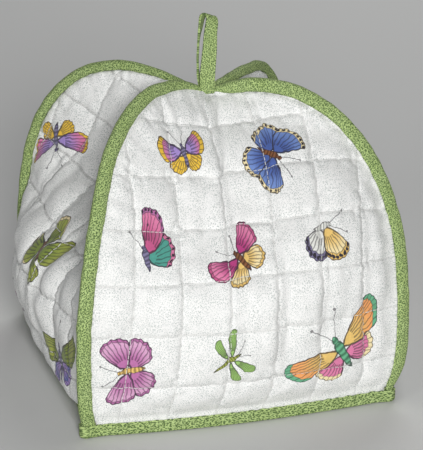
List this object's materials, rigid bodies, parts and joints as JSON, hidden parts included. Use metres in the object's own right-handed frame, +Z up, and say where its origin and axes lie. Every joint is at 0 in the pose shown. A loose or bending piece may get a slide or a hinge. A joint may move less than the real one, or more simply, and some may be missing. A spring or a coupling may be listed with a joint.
{
  "type": "tea cosy",
  "caption": "Free-standing quilted cotton tea cosy: arched dome panels with bound standing ridges, an open bound hem and a hanging loop.",
  "frame": {"origin": "on the ground, under the middle of the cosy's width and length", "axes": "+Z up through the hanging loop, -Y out of the front panel, +X to the right seen from the front"},
  "size_m": [0.2749, 0.2919, 0.2693],
  "materials": {
    "quilted_print": "matt printed cotton",
    "green_binding": "matt printed cotton"
  },
  "bodies": {
    "root": {"panel_front": "quilted_print", "panel_right": "quilted_print", "panel_back": "quilted_print", "panel_left": "quilted_print", "binding_front_arch": "green_binding", "binding_back_arch": "green_binding", "hem_binding": "green_binding", "hanging_loop": "green_binding"}
  },
  "joints": []
}
